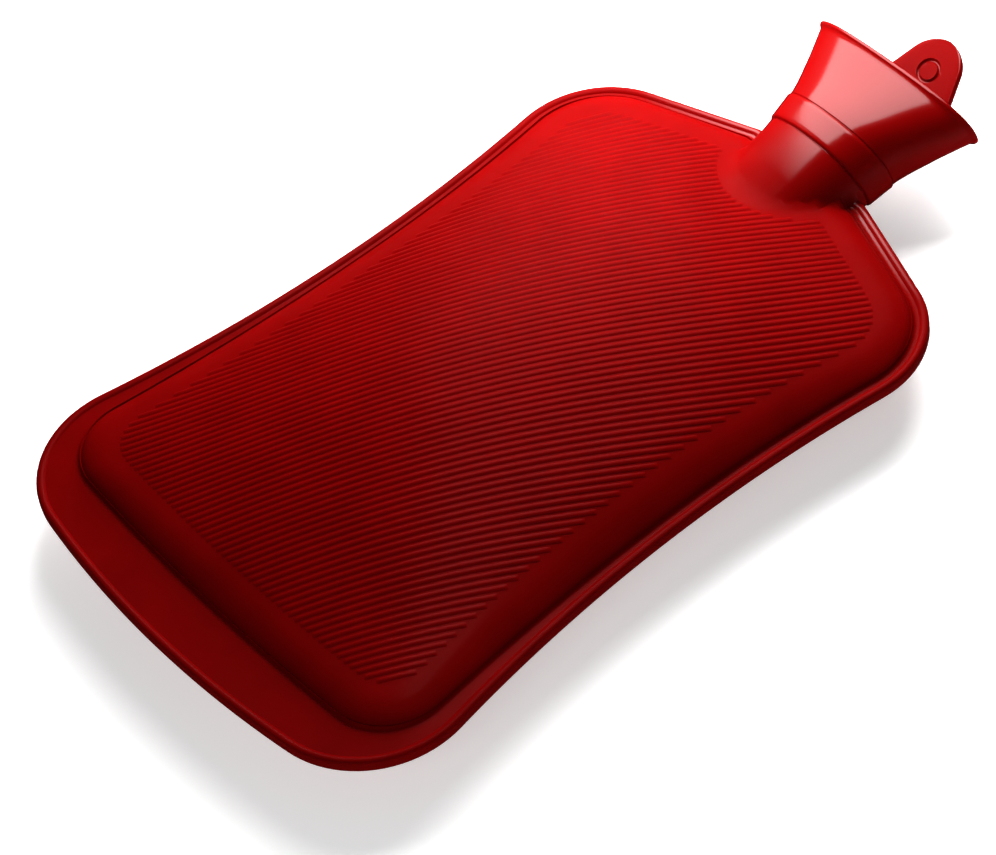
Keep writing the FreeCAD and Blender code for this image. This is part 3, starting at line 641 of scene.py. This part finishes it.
def rib_rows(low, high, offset, middle, run, side):
    """Rings along a rib, which dies away at its ends."""
    ribs, bag = sizes("bottle_ribs"), sizes("bottle_bag")
    count = max(4, int((high - low) / RIB_STEP))
    full = RIB_ENDS[-1][0]
    stops = [(low + distance, fullness) for distance, fullness in RIB_ENDS]
    stops += [(stop, 1.0) for stop in np.linspace(low + full, high - full, count)[1:]]
    stops += [(high - distance, fullness) for distance, fullness in RIB_ENDS[-2::-1]]
    rows = []
    for stop, fullness in stops:
        ring = []
        for across, rise in RIB_PROFILE:
            flat = middle + run * stop + side * (offset + across * ribs.width)
            lift = rise * ribs.height * (fullness if rise > 0 else 1)
            ring.append([flat[0], flat[1], crown(flat[None], bag.front_crown)[0] + lift])
        rows.append(np.array(ring))
    return rows


def make_ribs():
    """All the ribs, as one piece."""
    ribs = sizes("bottle_ribs")
    count = int(RIBBED_LENGTH / ribs.pitch / 2)
    pieces = []
    for number in range(-count, count + 1):
        offset = number * ribs.pitch
        pairs, middle, run, side = rib_stretches(offset)
        for low, high in pairs:
            rows = [to_scene(row) for row in rib_rows(low, high, offset, middle, run, side)]
            pieces.append(skin("rib", rows))
    join(pieces[0], pieces[1:])
    return pieces[0]


# The bag

# The fillet against the neck: its radius, the station where it starts, and its reach to each side
BLEND = 2.5
BLEND_FROM = 225.0
BLEND_REACH = 45.0
# How far a panel lies under the neck's skin, past the fillet, at most
UNDER_SKIN = 0.6


def lifted_to(rows, neck_tree, towards):
    """Rings of a panel, raised in a soft fillet against the neck and then led under its skin."""
    tall = Vector((0, 0, 0.2 * towards))
    for row in rows:
        for point in row:
            if point[1] < BLEND_FROM or abs(point[0]) > BLEND_REACH:
                continue
            place = Vector(to_scene(point[None])[0])
            hit = neck_tree.ray_cast(place + tall, -tall.normalized())[0]
            if hit is None:
                continue
            own = place.z * towards / MM
            other = hit.z * towards / MM
            gap = other - own
            if abs(gap) < BLEND:
                own = max(own, other) + (BLEND - abs(gap)) ** 2 / (4 * BLEND)
            elif gap >= BLEND:
                own = other - min(UNDER_SKIN, 0.5 * (gap - BLEND))
            point[2] = own * towards - sizes("bottle_bag").seam_height


def make_bag():
    """The moulding: two panels, the neck with its funnel, and the tab, made one, hollowed and ribbed."""
    bag = sizes("bottle_bag")
    throat = skin("neck", [to_scene(row) for row in neck_rows()])
    front = panel_rows(bag.front_crown, NO_TABLE)
    back = panel_rows(bag.back_crown, bag.seam_height)
    lifted_to(front, BVHTree.FromObject(throat, bpy.context.evaluated_depsgraph_get()), 1)
    rows = [row * [1, 1, -1] for row in back[::-1]] + front[1:]
    piece = skin("rubber_body", [to_scene(row) for row in rows], False, False)
    tongue = skin("tab", [to_scene(row) for row in tab_rows()])
    combine(piece, [throat, tongue], "UNION")
    combine(piece, [make_ring()], "DIFFERENCE")
    hollow = skin("hollow", [to_scene(row) for row in hollow_rows()])
    combine(piece, [hollow, make_cavity()], "DIFFERENCE")
    join(piece, [make_ribs()])
    smooth(piece, 35.0)
    return piece


def make_ring():
    """Round bar bent to a ring, which cuts the groove in the tab's face."""
    neck, tab = sizes("bottle_neck"), sizes("bottle_tab")
    start()
    bpy.ops.mesh.primitive_torus_add(
        major_radius=tab.ring_radius * MM,
        minor_radius=tab.ring_groove * MM,
        major_segments=64,
        minor_segments=12,
        location=to_scene(along_bore(np.array([[0.0, tab_face(tab.centre), tab.centre]])))[0],
        rotation=(neck.tilt + tab.lean, 0, 0),
    )
    ring = bpy.context.object
    bpy.ops.object.transform_apply(location=True, rotation=True, scale=True)
    return ring


def make_cavity():
    """The space inside the bag."""
    bag = sizes("bottle_bag")
    back = cavity_rows(bag.back_crown, bag.seam_height, -1)
    rows = back[::-1] + cavity_rows(bag.front_crown, NO_TABLE, 1)
    return skin("cavity", [to_scene(row) for row in rows], False, False)


# Insert, washer and stopper


def turned(name, profile, count=RING, thread=None):
    """Turned piece: a ring for each radius and station of its profile, which may carry a thread."""
    angles = 2 * math.pi * np.arange(count) / count
    rows = []
    for radius, station in profile:
        radii = np.full(count, radius) if thread is None else thread(radius, station, angles)
        flat = np.column_stack([radii * np.cos(angles), radii * np.sin(angles), np.full(count, station)])
        rows.append(to_scene(along_bore(flat)))
    closed = profile[0] == profile[-1]
    return skin(name, rows, not closed, not closed)


def thread_wave(station, angles, pitch):
    """From 0 in the thread's root to 1 on its crest."""
    phase = (station / pitch + angles / (2 * math.pi)) % 1
    return np.clip(2.2 * np.abs(2 * phase - 1) - 0.6, 0, 1)


# Play between the threads, between touching faces, and round the insert in its seat
THREAD_PLAY = 0.08
FACE_PLAY = 0.02
SEAT_PLAY = 0.05
INSERT_GROOVE = 0.9
# Facets round the screw pieces, radius of the stopper's closed axis, and the rounding of the washer's edges
FACETS = 72
AXIS = 0.5
WASHER_EDGE = 0.3
# The grip: how deep it is sunk in the flange, the rim round its dish, the dish's slope and the rounded edges
GRIP_SUNK = 1.5
GRIP_RIM = 1.9
GRIP_SLOPE = 0.9
GRIP_EDGE = 0.9


def make_insert():
    """Threaded bush, moulded into the neck."""
    neck, screw = sizes("bottle_neck"), sizes("bottle_stopper")
    low, high = neck.insert_foot, neck.insert_top
    bore, radius = screw.thread_radius + THREAD_PLAY, neck.insert_radius - SEAT_PLAY
    inside = [(bore, station) for station in np.linspace(high - SEAT_PLAY, low + SEAT_PLAY, 40)]
    outside = [(radius, low + SEAT_PLAY), (radius, high - SEAT_PLAY)]

    def cut(radius, station, angles):
        if radius > bore:
            return np.full(len(angles), radius)
        ease = np.clip(min(station - low, high - station) / 1.5, 0, 1)
        return radius + INSERT_GROOVE * ease * thread_wave(station, angles, screw.pitch)

    piece = turned("insert", inside + outside + inside[:1], FACETS, cut)
    smooth(piece, 30.0)
    return piece


def make_washer():
    """Flat ring with rounded edges, under the stopper's flange."""
    neck, screw = sizes("bottle_neck"), sizes("bottle_stopper")
    low, high = neck.insert_top + FACE_PLAY, neck.insert_top + screw.washer - FACE_PLAY
    bore, radius, edge = screw.washer_bore, screw.washer_radius, WASHER_EDGE
    profile = [(bore, low + edge), (bore + edge, low), (radius - edge, low), (radius, low + edge)]
    profile += [(radius, high - edge), (radius - edge, high), (bore + edge, high), (bore, high - edge)]
    piece = turned("washer", profile + profile[:1], FACETS)
    smooth(piece, 50.0)
    return piece


def make_stopper():
    """Threaded shank, flange and a flat grip with a shallow dish on each face."""
    neck, screw = sizes("bottle_neck"), sizes("bottle_stopper")
    foot, seat = neck.insert_top - screw.shank, neck.insert_top + screw.washer
    top = seat + screw.flange
    tip, collar, flange = screw.tip_radius, screw.collar_radius, screw.flange_radius
    low, high = foot + 0.6, seat - 2.0
    profile = [(AXIS, foot), (tip - 0.6, foot), (tip, foot + 0.3)]
    profile += [(screw.thread_radius, station) for station in np.linspace(low, high, 64)]
    profile += [(collar, seat - 1.9), (collar, seat), (flange - 0.4, seat), (flange, seat + 0.4)]
    profile += [(flange, top - 0.8), (flange - 0.3, top - 0.2), (flange - 1.0, top), (AXIS, top)]

    def cut(radius, station, angles):
        if radius != screw.thread_radius:
            return np.full(len(angles), radius)
        ease = np.clip(min(station - low, high - station) / 2.0, 0, 1)
        crest = (screw.thread_depth - FACE_PLAY) * ease * thread_wave(station, angles, screw.pitch)
        return radius - screw.thread_depth + crest

    piece = turned("stopper_body", profile, FACETS, cut)
    combine(piece, [make_grip(top)], "UNION")
    smooth(piece, 35.0)
    return piece


def make_grip(base):
    """Flat grip: a block, its corners rounded, a dish pressed into each face."""
    screw = sizes("bottle_stopper")
    width, thickness, corner = screw.grip_width, screw.grip_thickness, screw.grip_corner
    height = screw.grip_height + GRIP_SUNK
    start()
    bpy.ops.mesh.primitive_cube_add(size=1)
    grip = bpy.context.object
    grip.scale = (width * MM, thickness * MM, height * MM)
    bpy.ops.object.transform_apply(location=False, rotation=False, scale=True)

    def upper_corner(a, b):
        return a.z > 0 and b.z > 0 and abs(a.y - b.y) > thickness * MM * 0.9

    def face_edge(a, b):
        on_face = max(abs(a.y), abs(b.y)) > (thickness / 2 - 0.01) * MM
        return on_face and on_outline((a + b) / 2 / MM, width, height, corner)

    bpy.ops.object.mode_set(mode="EDIT")
    select_edges(grip, upper_corner)
    bpy.ops.mesh.bevel(offset=corner * MM, offset_type="OFFSET", segments=10, affect="EDGES")
    select_faces(grip, lambda face: abs(face.normal.y) > 0.9)
    bpy.ops.mesh.inset(thickness=GRIP_RIM * MM, depth=0)
    bpy.ops.mesh.inset(thickness=GRIP_SLOPE * MM, depth=-screw.grip_dish * MM)
    select_edges(grip, face_edge)
    bpy.ops.mesh.bevel(offset=GRIP_EDGE * MM, offset_type="OFFSET", segments=4, affect="EDGES")
    bpy.ops.object.mode_set(mode="OBJECT")
    for vert in grip.data.vertices:
        local = np.array([[vert.co.x / MM, -vert.co.y / MM, vert.co.z / MM + base - GRIP_SUNK + height / 2]])
        vert.co = to_scene(along_bore(local))[0]
    return grip


def on_outline(point, width, height, radius):
    """True for a point on the outline of the grip's face, not on its dish."""
    x, z = abs(point.x), point.z
    if x > width / 2 - 0.1 or abs(z) > height / 2 - 0.1:
        return True
    out = math.hypot(x - (width / 2 - radius), z - (height / 2 - radius))
    return x > width / 2 - radius and z > height / 2 - radius and out > radius - 0.2


def select_edges(piece, wanted):
    """Select the edges whose two ends are wanted."""
    mesh = bmesh.from_edit_mesh(piece.data)
    bpy.ops.mesh.select_all(action="DESELECT")
    for edge in mesh.edges:
        edge.select_set(bool(wanted(edge.verts[0].co, edge.verts[1].co)))
    bmesh.update_edit_mesh(piece.data)


def select_faces(piece, wanted):
    """Select the wanted faces."""
    mesh = bmesh.from_edit_mesh(piece.data)
    bpy.ops.mesh.select_all(action="DESELECT")
    for face in mesh.faces:
        face.select_set(bool(wanted(face)))
    bmesh.update_edit_mesh(piece.data)


# Materials

# The polish of the neck and its painted light: the station where it sets in, its fade in metres, its strength,
# what is left of it on the panels, its roughness, and how much lighter the neck's colour is painted, as painted
# light
POLISH_AND_PAINTED_LIGHT_FOOT = 267.0
POLISH_AND_PAINTED_LIGHT_FADE = 0.016
POLISH = 0.75
DULL_POLISH = 0.02
POLISH_ROUGHNESS = 0.15
NECK_PAINTED_LIGHT_TONE = 1.25


class Recipe:
    """A node material in the making."""

    def __init__(self, name):
        self.material = bpy.data.materials.new(name)
        self.material.use_nodes = True
        self.nodes, self.links = self.material.node_tree.nodes, self.material.node_tree.links

    def put(self, socket, value):
        """Set a socket to a value, or link it to an output."""
        if isinstance(value, bpy.types.NodeSocket):
            self.links.new(value, socket)
        else:
            socket.default_value = value

    def shade(self, **values):
        """Set or link the shader's sockets, named with _ for a space."""
        for name, value in values.items():
            self.put(self.nodes["Principled BSDF"].inputs[name.replace("_", " ")], value)

    def place(self):
        """Place on the object."""
        return self.nodes.new("ShaderNodeTexCoord").outputs["Object"]

    def noise(self, scale, detail=4.0):
        """Cloud of grey values, fixed to the object."""
        cloud = self.nodes.new("ShaderNodeTexNoise")
        for key, value in (("Vector", self.place()), ("Scale", scale), ("Detail", detail)):
            self.put(cloud.inputs[key], value)
        return cloud.outputs["Fac"]

    def ramp(self, source, low, high, first=0.0, last=1.0):
        """Map a grey value between low and high to first and last."""
        scale = self.nodes.new("ShaderNodeMapRange")
        keys = ("Value", "From Min", "From Max", "To Min", "To Max")
        for key, value in zip(keys, (source, low, high, first, last)):
            self.put(scale.inputs[key], value)
        return scale.outputs["Result"]

    def mottled(self, source, first, last):
        """Mix of two colours by a grey value."""
        mix = self.nodes.new("ShaderNodeMix")
        mix.data_type = "RGBA"
        for key, value in (("Factor", source), ("A", first), ("B", last)):
            self.put(mix.inputs[key], (*value, 1) if isinstance(value, tuple) else value)
        return mix.outputs["Result"]

    def bump(self, scale, distance, strength):
        """Fine grain of the surface."""
        relief = self.nodes.new("ShaderNodeBump")
        values = (("Height", self.noise(scale, 2.0)), ("Distance", distance), ("Strength", strength))
        for key, value in values:
            self.put(relief.inputs[key], value)
        self.shade(Normal=relief.outputs["Normal"])


def brighter(colour, factor):
    return tuple(factor * part for part in colour)


def red_rubber():
    """Moulded rubber: dull on the bag, polished on the neck, where its colour is also painted lighter as
    painted light, faintly cloudy, with the mould's fine grain.
    """
    recipe = Recipe("red_rubber")
    colour = tuple(bpy.context.scene.bottle_finish.rubber)
    parts = recipe.nodes.new("ShaderNodeSeparateXYZ")
    recipe.put(parts.inputs["Vector"], recipe.place())
    foot = to_scene(np.array([[0.0, POLISH_AND_PAINTED_LIGHT_FOOT, 0.0]]))[0][1]
    # This ramp sets both the neck's coat and its painted light, a lighter colour on the neck
    polish_and_painted_light = recipe.ramp(parts.outputs["Y"], foot, foot + POLISH_AND_PAINTED_LIGHT_FADE)
    dull = recipe.mottled(recipe.ramp(recipe.noise(60.0), 0.35, 0.65), brighter(colour, 0.9), colour)
    # Painted light: the neck's colour is painted lighter than the bag's, standing in for the brighter light
    # that falls on it
    painted_light_tone = recipe.mottled(polish_and_painted_light, colour, brighter(colour, NECK_PAINTED_LIGHT_TONE))
    recipe.shade(
        Base_Color=recipe.mottled(polish_and_painted_light, dull, painted_light_tone),
        Roughness=recipe.ramp(recipe.noise(160.0), 0.3, 0.7, 0.48, 0.56),
        Specular_IOR_Level=0.01,
        Coat_Weight=recipe.ramp(polish_and_painted_light, 0.0, 1.0, DULL_POLISH, POLISH),
        Coat_Roughness=POLISH_ROUGHNESS,
    )
    recipe.bump(2600.0, 0.00003, 0.25)
    return recipe.material


def grained(name, colours, clouds, low, rough, roughness, grain, metallic=0.0):
    """Material of a small piece: colour in clouds of a scale, roughness in patches of a scale, and grain."""
    recipe = Recipe(name)
    recipe.shade(
        Base_Color=recipe.mottled(recipe.ramp(recipe.noise(clouds), low, 1 - low), *colours),
        Roughness=recipe.ramp(recipe.noise(rough), 0.3, 0.7, *roughness),
        Metallic=metallic,
    )
    recipe.bump(*grain)
    return recipe.material


def stopper_plastic():
    """Dark moulded plastic."""
    dark = tuple(bpy.context.scene.bottle_finish.stopper)
    colours = (dark, brighter(dark, 1.5))
    return grained("stopper_plastic", colours, 90.0, 0.3, 500.0, (0.32, 0.44), (3000.0, 0.00002, 0.3))


def insert_brass():
    """Turned brass, a little dulled."""
    colours = ((0.58, 0.40, 0.16), (0.72, 0.54, 0.26))
    return grained("insert_brass", colours, 120.0, 0.35, 700.0, (0.28, 0.42), (1800.0, 0.00002, 0.3), 1.0)


def washer_rubber():
    """Black sealing rubber."""
    colours = ((0.015, 0.015, 0.016), (0.03, 0.03, 0.03))
    return grained("washer_rubber", colours, 200.0, 0.3, 900.0, (0.55, 0.7), (2500.0, 0.00003, 0.5))


def finish_piece(piece, finish, node, body):
    """Give a piece its material and its place in the frame."""
    piece.data.materials.clear()
    piece.data.materials.append(finish)
    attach(piece, body)
    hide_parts(node)


# Stage

# How brightly the floor shines by itself, which keeps it white
FLOOR_GLOW = 0.38
# Name, place and target in metres, width and height in metres, power in watts, and if it is only a highlight
LIGHTS = (
    ("window", (-0.24, 0.28, 0.24), (0.0, 0.12, 0.0), 0.46, 0.46, 8.6, False),
    ("card", (0.4, -0.5, 0.3), (0.0, -0.05, 0.0), 0.5, 0.5, 1.3, False),
    ("kicker", (-0.09, 0.09, 0.11), (-0.01, 0.14, 0.03), 0.08, 0.08, 0.2, False),
    ("gloss", (-0.28, 0.25, 0.57), (0.0, 0.15, 0.05), 0.36, 0.7, 5.0, True),
)
WORLD_LIGHT = 0.06


def make_floor():
    """Plain pale floor."""
    start()
    bpy.ops.mesh.primitive_plane_add(size=6)
    floor = bpy.context.object
    floor.name = floor.data.name = "floor"
    recipe = Recipe("pale_floor")
    recipe.shade(
        Base_Color=recipe.mottled(recipe.noise(3.0), (0.88, 0.88, 0.88), (0.9, 0.9, 0.9)),
        Roughness=0.9,
        Specular_IOR_Level=0.1,
        Emission_Color=(1, 1, 1, 1),
        Emission_Strength=FLOOR_GLOW,
    )
    floor.data.materials.append(recipe.material)
    floor.visible_glossy = False


def aim(thing, place, target):
    """Stand a light at a place, in metres, and point it at a target."""
    thing.location = place
    thing.rotation_euler = (Vector(target) - Vector(place)).to_track_quat("-Z", "Y").to_euler()


def add_light(name, place, target, width, height, power, highlight):
    """Soft light, which either lights the surfaces or only shows in them as a highlight."""
    start()
    bpy.ops.object.light_add(type="AREA")
    lamp = bpy.context.object
    lamp.name = lamp.data.name = name
    lamp.data.shape = "RECTANGLE"
    lamp.data.size, lamp.data.size_y = width, height
    lamp.data.energy = power
    lamp.visible_glossy, lamp.visible_diffuse = highlight, not highlight
    aim(lamp, place, target)


# Camera: the directions and the distance in metres that fit the photograph, the point of the seam plane that
# it looks at, in millimetres across and from the foot, and its focal length in pixels
CAMERA_RIGHT = Vector((0.6277, 0.7660, -0.1382))
CAMERA_BACK = Vector((0.574, -0.336, 0.747))
CAMERA_DISTANCE = 1.347826
CAMERA_TARGET = (11.0945, 134.954)
FOCAL_PIXELS = 4105.196
FRAME_WIDTH = 996
SENSOR = 36.0


def add_camera():
    """Camera that sees the bottle as the photograph does."""
    start()
    bpy.ops.object.camera_add()
    camera = bpy.context.object
    back = CAMERA_BACK.normalized()
    right = (CAMERA_RIGHT - back * CAMERA_RIGHT.dot(back)).normalized()
    up = back.cross(right)
    target = Vector(to_scene(np.array([[*CAMERA_TARGET, 0.0]]))[0])
    turn = Matrix((right, up, back)).transposed().to_4x4()
    camera.matrix_world = Matrix.Translation(target + back * CAMERA_DISTANCE) @ turn
    camera.data.sensor_width = SENSOR
    camera.data.sensor_fit = "HORIZONTAL"
    camera.data.lens = FOCAL_PIXELS / FRAME_WIDTH * SENSOR
    bpy.context.scene.camera = camera


def add_world():
    """Faint white light from all round, which no surface mirrors."""
    world = bpy.data.worlds.new("studio")
    bpy.context.scene.world = world
    world.use_nodes = True
    backdrop = world.node_tree.nodes["Background"]
    backdrop.inputs["Color"].default_value = (1.0, 1.0, 1.0, 1)
    backdrop.inputs["Strength"].default_value = WORLD_LIGHT
    world.cycles_visibility.glossy = False


# Operators


class BOTTLE_OT_bag(bpy.types.Operator):
    """Model the moulded rubber bag with its ribs, neck, funnel and tab"""

    bl_idname = "bottle.bag"
    bl_label = "Rubber bag"

    def execute(self, context):
        finish_piece(make_bag(), red_rubber(), "rubber_bag", "bag")
        return {"FINISHED"}


class BOTTLE_OT_insert(bpy.types.Operator):
    """Model the threaded insert"""

    bl_idname = "bottle.insert"
    bl_label = "Neck insert"

    def execute(self, context):
        finish_piece(make_insert(), insert_brass(), "neck_insert", "bag")
        return {"FINISHED"}


class BOTTLE_OT_washer(bpy.types.Operator):
    """Model the stopper's washer"""

    bl_idname = "bottle.washer"
    bl_label = "Stopper washer"

    def execute(self, context):
        finish_piece(make_washer(), washer_rubber(), "stopper_washer", "washer")
        return {"FINISHED"}


class BOTTLE_OT_stopper(bpy.types.Operator):
    """Model the screw stopper"""

    bl_idname = "bottle.stopper"
    bl_label = "Stopper"

    def execute(self, context):
        finish_piece(make_stopper(), stopper_plastic(), "stopper", "stopper")
        return {"FINISHED"}


class BOTTLE_OT_stage(bpy.types.Operator):
    """Add the floor, the lights and the camera"""

    bl_idname = "bottle.stage"
    bl_label = "Stage"

    def execute(self, context):
        make_floor()
        add_world()
        for light in LIGHTS:
            add_light(*light)
        add_camera()
        context.scene.view_settings.view_transform = "Standard"
        context.scene.view_settings.look = "Medium High Contrast"
        return {"FINISHED"}


class BOTTLE_PT_panel(bpy.types.Panel):
    """Lists the bottle's pieces and sizes"""

    bl_label = "Hot water bottle"
    bl_space_type = "VIEW_3D"
    bl_region_type = "UI"
    bl_category = "Bottle"

    def draw(self, context):
        for operator in OPERATORS:
            self.layout.operator(operator.bl_idname)
        for group in GROUPS:
            owner = getattr(context.scene, group)
            box = self.layout.box()
            for name in owner.bl_rna.properties.keys():
                if name not in ("rna_type", "name"):
                    box.prop(owner, name)


OPERATORS = (BOTTLE_OT_bag, BOTTLE_OT_insert, BOTTLE_OT_washer, BOTTLE_OT_stopper, BOTTLE_OT_stage)


def register():
    for group, kind in GROUPS.items():
        bpy.utils.register_class(kind)
        setattr(bpy.types.Scene, group, PointerProperty(type=kind))
    for kind in (*OPERATORS, BOTTLE_PT_panel):
        bpy.utils.register_class(kind)


def unregister():
    for kind in (BOTTLE_PT_panel, *reversed(OPERATORS)):
        bpy.utils.unregister_class(kind)
    for group, kind in reversed(GROUPS.items()):
        delattr(bpy.types.Scene, group)
        bpy.utils.unregister_class(kind)


def main():
    """Build the whole scene."""
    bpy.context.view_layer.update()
    register()
    bpy.ops.bottle.bag()
    bpy.ops.bottle.insert()
    bpy.ops.bottle.washer()
    bpy.ops.bottle.stopper()
    bpy.ops.bottle.stage()


if __name__ == "__main__":
    main()
